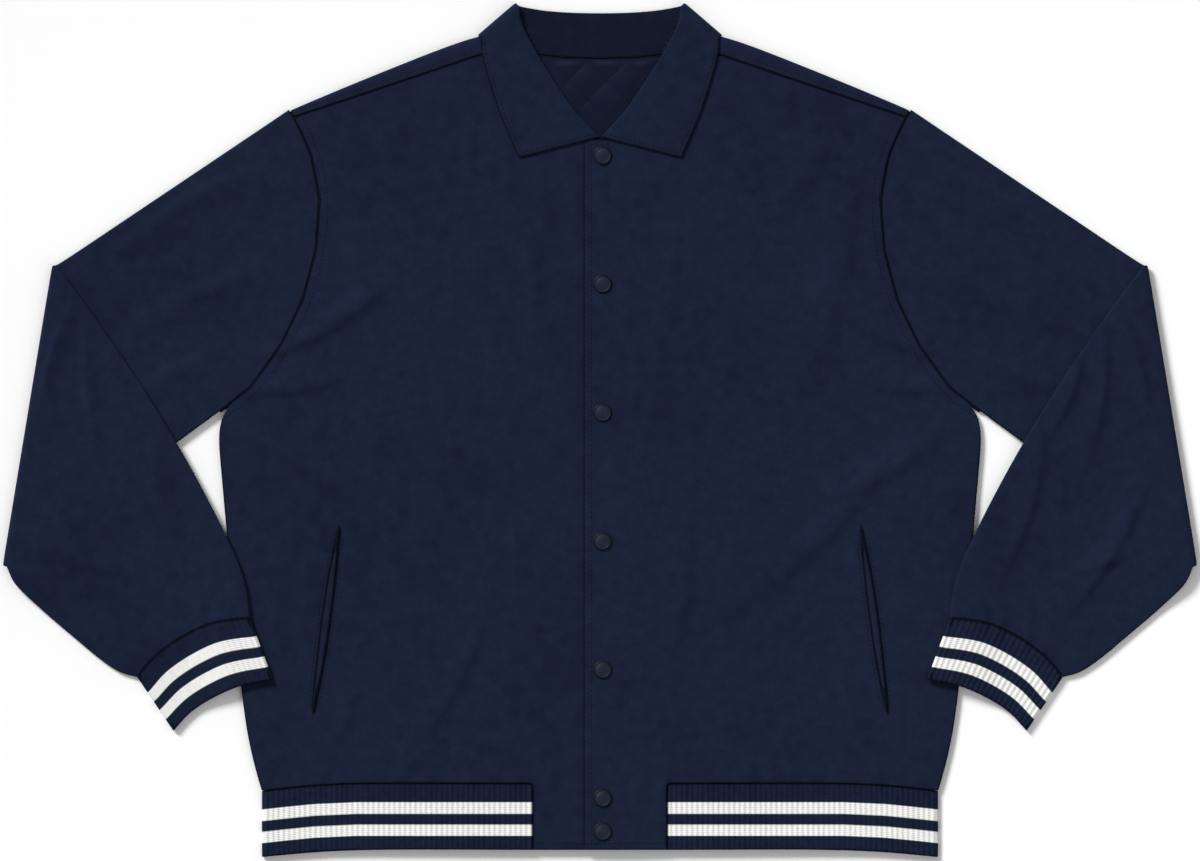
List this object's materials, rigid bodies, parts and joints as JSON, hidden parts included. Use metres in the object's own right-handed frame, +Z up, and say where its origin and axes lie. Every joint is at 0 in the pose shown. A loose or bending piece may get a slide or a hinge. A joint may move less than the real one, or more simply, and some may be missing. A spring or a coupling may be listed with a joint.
{
  "type": "varsity jacket",
  "caption": "Flat-laid varsity jacket with a turned collar, snap placket, striped rib cuffs and hem, and quilted neck lining.",
  "frame": {"origin": "centre of the jacket's outline, on the surface it lies on", "axes": "+X to the wearer's left along the sleeves, +Y toward the collar, +Z up from the surface"},
  "size_m": [1.0158, 0.7258, 0.0121],
  "materials": {
    "body_cloth": "navy wool melton, matt",
    "rib_knit": "navy rib knit with two white stripes",
    "lining": "dark quilted satin",
    "snap_enamel": "navy enamel cap, satin"
  },
  "bodies": {
    "root": {"back": "body_cloth", "front_right": "body_cloth", "front_left": "body_cloth", "sleeve_right": "body_cloth", "sleeve_left": "body_cloth", "collar": "body_cloth", "welt_right": "body_cloth", "welt_left": "body_cloth", "cuff_right": "rib_knit", "cuff_left": "rib_knit", "hem_rib": "rib_knit", "lining_back": "lining", "snap_1": "snap_enamel", "snap_2": "snap_enamel", "snap_3": "snap_enamel", "snap_4": "snap_enamel", "snap_5": "snap_enamel", "snap_6": "snap_enamel", "snap_7": "snap_enamel"}
  },
  "joints": []
}
